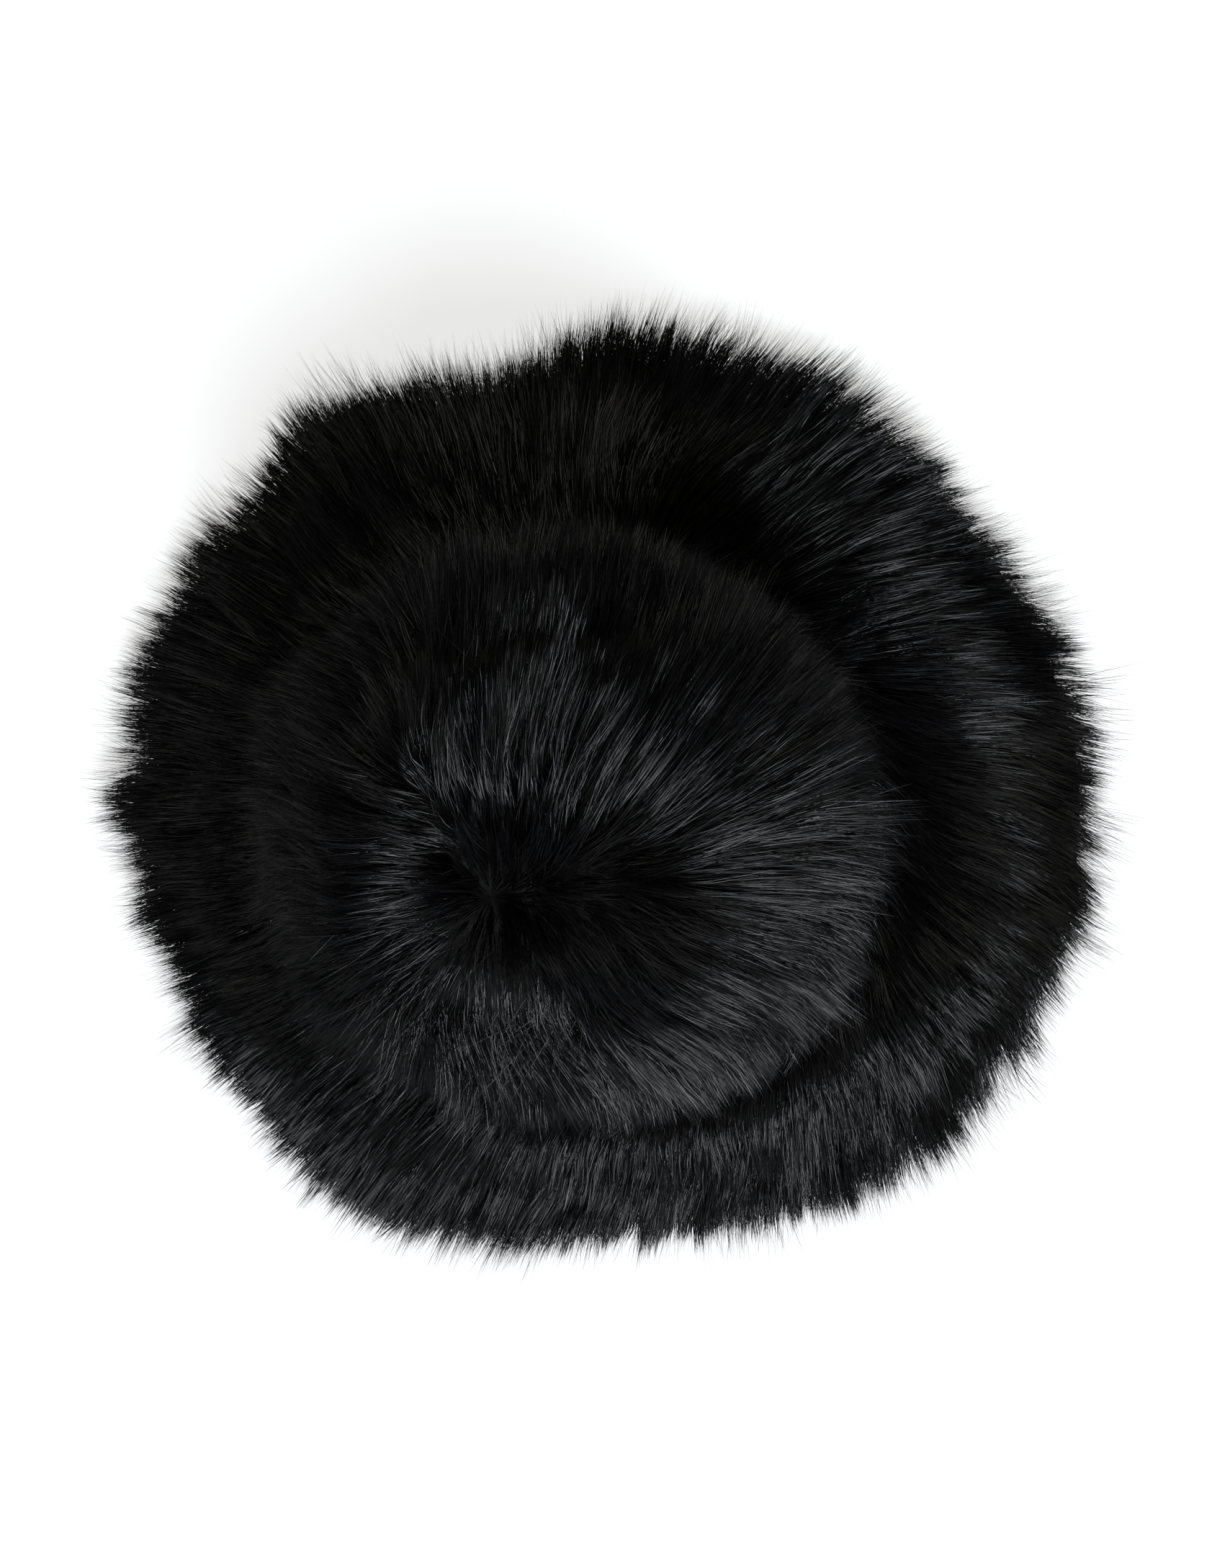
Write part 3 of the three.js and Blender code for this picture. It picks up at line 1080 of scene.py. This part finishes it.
    def parted(self, along: Array, bearing: Array, length: Array, rise: Array,
               draw: np.random.Generator) -> tuple[Array, Array, Array]:
        """Shortens and raises the strands above each parting and lays the pile below it low.

        Args:
            along: The roots' distances along the cloth.
            bearing: The roots' bearings.
            length: The strands' full lengths.
            rise: How soon they have risen.
            draw: The source of chance.

        Returns:
            The new lengths, how much of its height each strand keeps, and how soon it has risen.
        """
        full = np.ones(len(along))
        for gap in self.partings:
            weight = gap.depth * hill(bearing - gap.bearing, gap.wide)
            past = along - gap.along
            reach = np.maximum(-past + draw.normal(0.0, gap.uneven, len(along)), gap.shortest)
            cut = np.where((past < 0.0) & (length > reach), mixed(length, reach, weight), length)
            length = np.where(past < 0.0, cut, length)
            closing = 1.0 - smoothstep(past, gap.gap, gap.gap + gap.closes)
            full = full * (1.0 - weight * smoothstep(past, *gap.opens) * closing)
            raised = weight * smoothstep(past, -gap.before, gap.full_at * -gap.before) * (past < 0.0)
            full = full * (1.0 + gap.lift * raised)
            rise = mixed(rise, gap.even, raised)
        return length, np.maximum(full, self.least), rise

    def straighten(self, spine: Array, ahead: Array, length: Array, stiff: Array) -> Array:
        """Lets the outer part of each strand run on in its own direction, with a little sag.

        Args:
            spine: The strands as they follow the cloth.
            ahead: The way each strand goes at its first bend.
            length: The length of each strand.
            stiff: How far each strand keeps its own direction, from 0 to 1.

        Returns:
            The new spines.
        """
        spine = spine.copy()
        for i in range(2, spine.shape[1]):
            share = self.stops[i] - self.stops[1]
            on = spine[:, 1] + ahead * share * length[:, None] * MM
            on[:, 2] -= self.sag * share * share * length * MM
            spine[:, i] = mixed(spine[:, i], on, stiff[:, None])
        return spine

    def grow(self) -> dict[str, Array]:
        """Grows all the panel's strands.

        Returns:
            The spine of each strand, the way out of the pile along it, its width and roll, its tone and its
            lock's, its bearing, and whether it is there.
        """
        draw = np.random.default_rng(self.seed)
        lock_along, lock_bearing = self.lock_places(draw)
        sway, swell, reach = self.drifts(draw, lock_along, lock_bearing)
        lock_turn = draw.normal(0.0, self.wander, self.locks) + self.sway * sway
        lock_length = draw.uniform(*self.lock_lengths, self.locks) * (1.0 + self.stretch * reach)
        lock_tip = self.low + (self.high - self.low) * draw.random(self.locks) ** 2
        lock_tip = lock_tip * (1.0 + self.swell * swell)
        lock_toss = draw.normal(0.0, self.toss, self.locks)
        lock_tone = draw.random(self.locks)
        of = np.sort(draw.integers(0, self.locks, self.strands))
        off_along, off_round = draw.normal(0.0, self.spread * self.pitch(50), (2, self.strands))
        along = np.clip(lock_along[of] + off_along, max(self.start - self.overlap, self.hole), self.end)
        radius = np.maximum(self.form.radius(lock_along[of]), self.inmost)
        bearing = lock_bearing[of] + np.degrees(off_round / radius)
        turn = lock_turn[of] + draw.normal(0.0, self.loose, self.strands)
        length = self.by_row(along, "length") * lock_length[of] * draw.uniform(*self.lengths, self.strands)
        arch, stiff, rise, level = (self.by_row(along, what) for what in ("arch", "stiff", "rise", "level"))
        taller, shorter, rise, climb, dense = self.tufted(along, bearing, rise)
        length, full, rise = self.parted(along, bearing, length * shorter, rise, draw)
        tip = self.by_row(along, "tip") * lock_tip[of] * draw.uniform(*self.tips, self.strands)
        tip = np.minimum(tip * full * taller, self.tallest * draw.uniform(*self.caps, self.strands))
        path_along, path_bearing = lock_along[of], lock_bearing[of]
        off = self.form.place(along, bearing, 0.0) - self.form.place(path_along, path_bearing, 0.0)
        spine, out = [], []
        before = 0.0
        for stop in self.stops:
            if stop > before:
                path_along, path_bearing = self.comb.walk(
                    path_along, path_bearing, turn, length * (stop - before), self.strides)
            before = stop
            apart = 1.0 - self.gather * smoothstep(stop, 0.0, self.closed)
            bulge = self.root + arch * math.sin(math.pi * stop)
            height = bulge + tip * (1.0 - (1.0 - stop) ** rise)
            spot = self.form.place(path_along, path_bearing, height)
            spine.append(spot + off * apart)
            out.append(self.form.outward(path_along, path_bearing, height))
            if stop == self.stops[1]:
                on_along, on_bearing = self.comb.walk(path_along, path_bearing, turn, length * self.probe, 1)
                later = bulge + tip * (1.0 - (1.0 - stop - self.probe) ** rise)
                ahead = unit(self.form.place(on_along, on_bearing, later) - spot)
                ahead[:, 2] = ahead[:, 2] * (1.0 - level) + climb + lock_toss[of]
                ahead = unit(ahead)
        spine, out = np.stack(spine, axis=1), np.stack(out, axis=1)
        spine = self.straighten(spine, ahead, length, stiff)
        lowest = (self.rest[0] + self.rest[1] * draw.random(self.strands)) * MM
        spine[..., 2] = np.maximum(spine[..., 2], lowest[:, None])
        return {
            "spine": spine,
            "out": out,
            "wide": self.wide * draw.uniform(*self.widths, self.strands),
            "roll": np.radians(draw.uniform(-self.roll, self.roll, self.strands)),
            "tone": draw.random(self.strands),
            "lock": lock_tone[of],
            "bearing": bearing,
            "there": draw.random(self.strands) < dense,
        }

    def build(self, material: bpy.types.Material) -> list[bpy.types.Object]:
        """Grows the strands and makes one piece for each side of the hat.

        Args:
            material: What the strands are made of.

        Returns:
            The dressed pieces.
        """
        grown = self.grow()
        made = []
        for side in self.sides:
            kept = side.holds(grown["bearing"]) & grown["there"]
            part = {key: value[kept] for key, value in grown.items()}
            name = self.name if side is Side.ALL else f"{self.name}_{side.name.lower()}"
            piece = self.ribbons(name, part)
            finish_piece(piece, material, self.node)
            made.append(piece)
        return made

    def ribbons(self, name: str, part: dict[str, Array]) -> bpy.types.Object:
        """Makes one mesh of all these strands, each a narrow ribbon that is shaded as a round hair.

        Args:
            name: The piece's name.
            part: The strands, as grow gives them.

        Returns:
            The new object.
        """
        spine, out = part["spine"], part["out"]
        count, stops = spine.shape[:2]
        ahead = unit(np.diff(spine, axis=1))
        ahead = np.concatenate([ahead, ahead[:, -1:]], axis=1)
        across = unit(np.cross(ahead, out))
        face = unit(np.cross(across, ahead))
        cos, sin = np.cos(part["roll"])[:, None, None], np.sin(part["roll"])[:, None, None]
        across, face = across * cos + face * sin, face * cos - across * sin
        taper = np.interp(self.stops, *zip(*self.taper))[None, :, None]
        half = part["wide"][:, None, None] * taper * MM / 2
        bend = math.radians(self.round_off)
        left, right = spine - across * half, spine + across * half
        n_left = face * math.cos(bend) - across * math.sin(bend)
        n_right = face * math.cos(bend) + across * math.sin(bend)
        body = np.stack([left, right], axis=2)[:, :-1].reshape(count, -1, 3)
        n_body = np.stack([n_left, n_right], axis=2)[:, :-1].reshape(count, -1, 3)
        points = np.concatenate([body, spine[:, -1:]], axis=1).reshape(-1, 3)
        normals = np.concatenate([n_body, face[:, -1:]], axis=1).reshape(-1, 3)
        per = 2 * (stops - 1) + 1
        quads = [(2 * i, 2 * i + 1, 2 * i + 3, 2 * i + 2) for i in range(stops - 2)]
        pattern = np.array([v for quad in quads for v in quad] + [per - 3, per - 2, per - 1])
        corners = (np.arange(count)[:, None] * per + pattern[None, :]).ravel()
        starts = (np.arange(count)[:, None] * len(pattern) + np.arange(stops - 1)[None, :] * 4).ravel()
        piece = new_mesh(name, points, corners, starts)
        mesh = piece.data
        mesh.normals_split_custom_set_from_vertices(normals)
        reach = np.array([s for s in self.stops[:-1] for _ in range(2)] + [1.0])
        tint = np.ones((count, per, 4), np.float32)
        tint[..., 0] = part["tone"][:, None]
        tint[..., 1] = reach[None, :]
        tint[..., 2] = part["lock"][:, None]
        strand = mesh.color_attributes.new("strand", "FLOAT_COLOR", "POINT")
        strand.data.foreach_set("color", tint.ravel())
        self.lay_out(mesh, count, pattern, reach)
        return piece

    def lay_out(self, mesh: bpy.types.Mesh, count: int, pattern: Array, reach: Array) -> None:
        """Gives each strand a small patch of its own on a square map.

        Args:
            mesh: The strands' mesh.
            count: How many strands there are.
            pattern: The vertex of each corner of one strand's faces.
            reach: How far out along the strand each of its vertices lies.
        """
        side = math.ceil(math.sqrt(count))
        order = np.arange(count)
        cell = np.stack([order % side, order // side], axis=-1)[:, None, :] / side
        across = np.where(np.arange(len(reach)) % 2 == 0, *self.patch)
        across[-1] = sum(self.patch) / 2
        patch = np.stack([across, self.patch_long[0] + self.patch_long[1] * reach], axis=-1)[pattern] / side
        layer = mesh.uv_layers.new(name="OFBake")
        layer.data.foreach_set("uv", (cell + patch[None]).astype(np.float32).ravel())


# The hat's panels

@dataclass
class Panel:
    """A sewn panel: its cloth, its short pile and its long pile.

    It runs between two seams, short of each by half a gap. The short pile starts at the bed over the cloth
    and ends at the down's height, a little rough. All layers have points about a row apart.
    """

    form: HatForm
    comb: Comb
    name: str = ""
    upper: Seam | None = None
    lower: Seam = Seam.HEM
    gap: float = 0.3
    bed: float = 1.0
    down: float = 5.0
    rough: float = 1.4
    row: float = 5.0

    @property
    def fur(self) -> str:
        """The name of the solid that stands for the panel's pile."""
        return f"{self.name}_fur"

    def span(self) -> Span:
        """Where the panel starts and ends along the cloth.

        Returns:
            Both distances. The hem has no neighbour, so the last panel runs right up to it.
        """
        half = self.gap / 2
        start = self.form.seams[self.upper] + half if self.upper else 0.0
        end = self.form.seams[self.lower]
        return start, end if self.lower is Seam.HEM else end - half

    def rows_between(self, start: float, end: float) -> Array:
        """Distances along the cloth, evenly spaced and about a row apart."""
        return np.linspace(start, end, max(2, round((end - start) / self.row) + 1))

    def layer(self, low: float, high: float) -> list[Span]:
        """The closed outline of a layer of even thickness.

        Args:
            low: Its underside's height.
            high: Its top's height.

        Returns:
            Distances along the cloth with heights, underside first.
        """
        rows = [float(along) for along in self.rows_between(*self.span())]
        return [(along, low) for along in rows] + [(along, high) for along in rows[::-1]]

    def down_outline(self) -> list[Span]:
        """The outline of the short pile."""
        return self.layer(self.bed, self.down)

    def piles(self) -> list[LongPile]:
        """The panel's kinds of long pile."""
        return []

    def build_cloth(self, material: bpy.types.Material) -> bpy.types.Object:
        """Makes the cloth of the panel and dresses it."""
        outline = self.layer(-self.form.cloth, 0.0)
        return Shell(self.form, f"{self.name}_cloth", self.name, Slot.BACKING, outline).build(material)

    def build_down(self, material: bpy.types.Material) -> bpy.types.Object:
        """Makes the short pile of the panel and dresses it."""
        short = Shell(self.form, f"{self.name}_down", self.fur, Slot.PILE, self.down_outline(), self.rough)
        return short.build(material)

    def build_pile(self, material: bpy.types.Material) -> list[bpy.types.Object]:
        """Makes the long pile of the panel and dresses it."""
        return [piece for pile in self.piles() for piece in pile.build(material)]


@dataclass
class CrownTip(Panel):
    """The round top panel, whose long pile grows from the whorl, with a few strays over it."""

    name: str = "crown_tip"
    lower: Seam = Seam.TIP
    rows: tuple[PileRow, ...] = (
        PileRow(0.0, 42, 17, 0, 0, 3.0),
        PileRow(0.38, 50, 19, 1, 0.3, 3.0),
        PileRow(0.7, 48, 22, 1, 0.9, 2.4, 0.45),
        PileRow(1.0, 36, 26, 1, 1.0, 1.4, 0.7),
    )
    partings: tuple[Parting, ...] = (
        Parting(105, 58, 26, 14, 0.95),
        Parting(66, 64, 20, 12, 0.9),
        Parting(92, 92, 22, 6, 0.5),
    )
    tufts: tuple[Tuft, ...] = (
        Tuft(94, 64, 24, 11, lift=0.3, even=1.1, climb=0.7),
        Tuft(0, 0, 1000, 32, lift=0.9, even=1.0, short=0.6, thin=0.3),
        Tuft(188, 20, 50, 30, lift=0.3, even=1.0, short=0.3),
        Tuft(190, 50, 46, 32, lift=-0.55, even=2.0),
        Tuft(265, 27, 45, 20, lift=-0.75, even=1.2),
        Tuft(226, 66, 26, 46, lift=0.5, even=1.3, climb=0.22),
        Tuft(268, 60, 32, 44, lift=-0.3, even=1.5, climb=-0.05),
    )
    stray_span: Span = (6.0, 60.0)
    stray_rows: tuple[PileRow, ...] = (
        PileRow(0.0, 40, 20, 0, 1.0, 1.2),
        PileRow(1.0, 48, 23, 0, 1.0, 1.2),
    )

    def piles(self) -> list[LongPile]:
        """The long pile.

        Returns:
            The combed pile and the strays over it.
        """
        return [
            LongPile(self.form, self.comb, "crown_tip_pile", self.fur, *self.span(), seed=21, locks=1300,
                     strands=39500, rows=self.rows, sides=(Side.ALL,), partings=self.partings,
                     tufts=self.tufts),
            LongPile(self.form, self.comb, "crown_stray_pile", self.fur, *self.stray_span, seed=24, locks=700,
                     strands=1400, rows=self.stray_rows, sides=(Side.ALL,), wander=26, sway=12, gather=0.2,
                     loose=8, wide=0.22, sag=0.1, stops=(0.0, 0.2, 0.4, 0.6, 0.8, 1.0)),
        ]


@dataclass
class CrownSide(Panel):
    """The upright band between the top panel and the brim."""

    name: str = "crown_side"
    upper: Seam | None = Seam.TIP
    lower: Seam = Seam.SIDE
    rows: tuple[PileRow, ...] = (
        PileRow(0.0, 32, 20, 1, 1.0, 1.5, 0.7),
        PileRow(0.35, 32, 14, 1, 0.6, 2.0, 0.4),
        PileRow(0.7, 34, 9, 1, 0),
        PileRow(1.0, 34, 8, 1, 0),
    )

    def piles(self) -> list[LongPile]:
        """The long pile.

        Returns:
            The combed pile, front and back.
        """
        return [
            LongPile(self.form, self.comb, "crown_side_pile", self.fur, *self.span(), seed=22, locks=1600,
                     strands=44000, rows=self.rows, sides=(Side.FRONT, Side.BACK)),
        ]


@dataclass
class Brim(Panel):
    """The sloping brim, whose pile reaches past the hem, with thin wisps at its edge."""

    name: str = "brim"
    upper: Seam | None = Seam.SIDE
    fringe: float = 8.0
    wisp_band: float = 16.0
    rows: tuple[PileRow, ...] = (
        PileRow(0.0, 38, 9, 1, 0),
        PileRow(0.25, 45, 14, 1, 0.2, 4.0, 0.2),
        PileRow(0.55, 44, 16, 3, 0.4, 3.0, 0.4),
        PileRow(0.8, 36, 12, 4, 0.3, 3.0, 0.4),
        PileRow(1.0, 24.5, 6, 5, 0.2, 3.0, 0.3),
    )
    wisp_rows: tuple[PileRow, ...] = (
        PileRow(0.0, 42, 9, 3, 0.5, 2.5, 0.4),
        PileRow(1.0, 33, 7, 4, 0.4, 2.5, 0.4),
    )
    tufts: tuple[Tuft, ...] = (
        Tuft(352, 146, 36, 22, lift=1.2, even=1.0),
        Tuft(302, 143, 28, 16, lift=0.8, even=1.0),
        Tuft(20, 146, 24, 22, lift=0.7, even=1.1),
        Tuft(10, 196, 32, 38, lift=0.75, even=1.2, climb=0.08),
        Tuft(325, 196, 24, 30, lift=0.3, even=1.5, climb=0.04),
        Tuft(68, 160, 22, 34, lift=0.9, even=1.2, climb=0.2),
        Tuft(36, 186, 18, 34, lift=0.5, even=1.2, climb=0.05),
        Tuft(228, 190, 34, 46, lift=0.9, even=1.2, climb=0.3, short=0.12),
        Tuft(62, 205, 14, 40, short=-0.2),
        Tuft(200, 205, 12, 40, short=0.12),
        Tuft(266, 142, 26, 14, lift=1.0, even=1.0),
        Tuft(262, 192, 55, 43, lift=0.8, even=1.3, climb=0.4),
        Tuft(277, 210, 30, 40, short=0.18),
        Tuft(42, 210, 18, 40, short=0.2),
        Tuft(340, 210, 16, 40, short=0.14),
        Tuft(6, 205, 14, 40, short=0.09),
        Tuft(135, 205, 12, 40, short=0.13),
        Tuft(180, 205, 14, 40, short=-0.1),
        Tuft(322, 205, 16, 40, short=-0.16),
        Tuft(224, 205, 12, 40, short=0.2),
        Tuft(252, 205, 12, 40, short=-0.14),
    )

    def down_outline(self) -> list[Span]:
        """The outline of the short pile, which turns down past the hem to the floor.

        Returns:
            Distances along the cloth with heights, underside first.
        """
        start, end = self.span()
        rows = [float(along) for along in self.rows_between(start, end)]
        edge, tip, floor = end + self.gap, end + self.fringe, -self.form.cloth
        under = [(along, self.bed) for along in rows[:-1]] + [(edge, self.bed), (edge, floor)]
        return under + [(tip, floor), (tip, self.down / 3)] + [(along, self.down) for along in rows[::-1]]

    def piles(self) -> list[LongPile]:
        """The long pile.

        Returns:
            The combed pile and the wisps at the edge.
        """
        start, end = self.span()
        return [
            LongPile(self.form, self.comb, "brim_pile", self.fur, start, end, seed=23, locks=3300,
                     strands=88000, rows=self.rows, tufts=self.tufts, gather=0.55,
                     sides=(Side.BACK_RIGHT, Side.BACK_LEFT, Side.FRONT_LEFT, Side.FRONT_RIGHT)),
            LongPile(self.form, self.comb, "brim_wisps", self.fur, end - self.wisp_band, end, seed=25,
                     locks=1400, strands=12000, rows=self.wisp_rows, sides=(Side.ALL,), tufts=self.tufts,
                     wander=9, gather=0.35, loose=8, wide=0.11),
        ]


@dataclass
class Hat:
    """The whole hat, sewn from its three panels."""

    panels: tuple[Panel, ...]

    def build(self) -> list[bpy.types.Object]:
        """Builds and dresses every piece: first the cloth, then the short pile, then the long.

        Returns:
            The dressed pieces.
        """
        knit, down, pile = KnitFinish().material(), DownFinish().material(), PileFinish().material()
        made = [panel.build_cloth(knit) for panel in self.panels]
        made += [panel.build_down(down) for panel in self.panels]
        for panel in self.panels:
            made += panel.build_pile(pile)
        return made


# The studio

@dataclass(frozen=True)
class Lamp:
    """A far, soft lamp: its bearing and elevation, how large it looks, its strength and its colour."""

    name: str
    bearing: float
    elevation: float
    angle: float
    strength: float
    colour: Colour

    def hang(self) -> None:
        """Hangs the lamp."""
        lamp = bpy.data.lights.new(self.name, "SUN")
        lamp.energy = self.strength
        lamp.color = self.colour
        lamp.angle = math.radians(self.angle)
        hung = bpy.data.objects.new(self.name, lamp)
        bpy.context.scene.collection.objects.link(hung)
        hung.rotation_mode = "QUATERNION"
        hung.rotation_quaternion = toward(self.bearing, self.elevation).to_track_quat("Z", "Y")


@dataclass
class Studio:
    """The plain floor, the soft light and the camera.

    The sky is the light of the room all round, and the backdrop is how bright that room looks to the camera.
    """

    lamps: tuple[Lamp, ...] = (
        Lamp("key", bearing=-60.0, elevation=40.0, angle=24.0, strength=8.0, colour=COOL),
        Lamp("fill", bearing=195.0, elevation=30.0, angle=24.0, strength=0.6, colour=MILD),
        Lamp("back", bearing=62.0, elevation=40.0, angle=30.0, strength=1.8, colour=MILD),
    )
    sky: float = 0.06
    backdrop: float = 0.9
    floor_half: float = 8.0
    look_at: Vector = field(default_factory=lambda: Vector((0.0158, 0.0107, 0.0374)))
    bearing: float = 42.0
    elevation: float = 71.0
    distance: float = 1.35
    lens: float = 89.03

    def build(self) -> None:
        """Sets up everything round the hat."""
        self.floor()
        for lamp in self.lamps:
            lamp.hang()
        self.room()
        self.camera()
        bpy.context.scene.view_settings.view_transform = "Standard"

    def floor(self) -> None:
        """Lays the floor."""
        half = self.floor_half
        points = np.array([(-half, -half, 0), (half, -half, 0), (half, half, 0), (-half, half, 0)])
        floor = new_mesh("floor", points, np.arange(4), np.array([0]))
        floor.data.materials.append(FloorFinish().material())

    def room(self) -> None:
        """Fills the room with a little light, and shows it pale to the camera alone."""
        world = bpy.data.worlds.new("room")
        world.use_nodes = True
        tree = world.node_tree
        behind = tree.nodes["Background"]
        behind.inputs["Color"].default_value = opaque(MILD)
        seen, bright = tree.nodes.new("ShaderNodeLightPath"), tree.nodes.new("ShaderNodeMapRange")
        bright.inputs["To Min"].default_value, bright.inputs["To Max"].default_value = self.sky, self.backdrop
        tree.links.new(seen.outputs["Is Camera Ray"], bright.inputs["Value"])
        tree.links.new(bright.outputs[0], behind.inputs["Strength"])
        bpy.context.scene.world = world

    def camera(self) -> None:
        """Stands the camera at the photograph's angle, with the picture's top towards +Y."""
        back = toward(self.bearing, self.elevation)
        right = (-back).cross(Vector((0.0, 1.0, 0.0))).normalized()
        up = right.cross(-back)
        data = bpy.data.cameras.new("view")
        data.lens = self.lens
        camera = bpy.data.objects.new("view", data)
        bpy.context.scene.collection.objects.link(camera)
        turn = Matrix((right, up, back)).transposed().to_4x4()
        camera.matrix_world = Matrix.Translation(self.look_at + back * self.distance) @ turn
        bpy.context.scene.camera = camera


def main() -> None:
    """Builds the hat and its studio in order, and reports each piece."""
    logging.basicConfig(level=logging.INFO, format="%(name)s %(message)s")
    form = HatForm()
    comb = Comb(form)
    hat = Hat((CrownTip(form, comb), CrownSide(form, comb), Brim(form, comb)))
    for piece in hat.build():
        LOG.info("%s: %d faces", piece.name, len(piece.data.polygons))
    Studio().build()


if __name__ == "__main__":
    main()
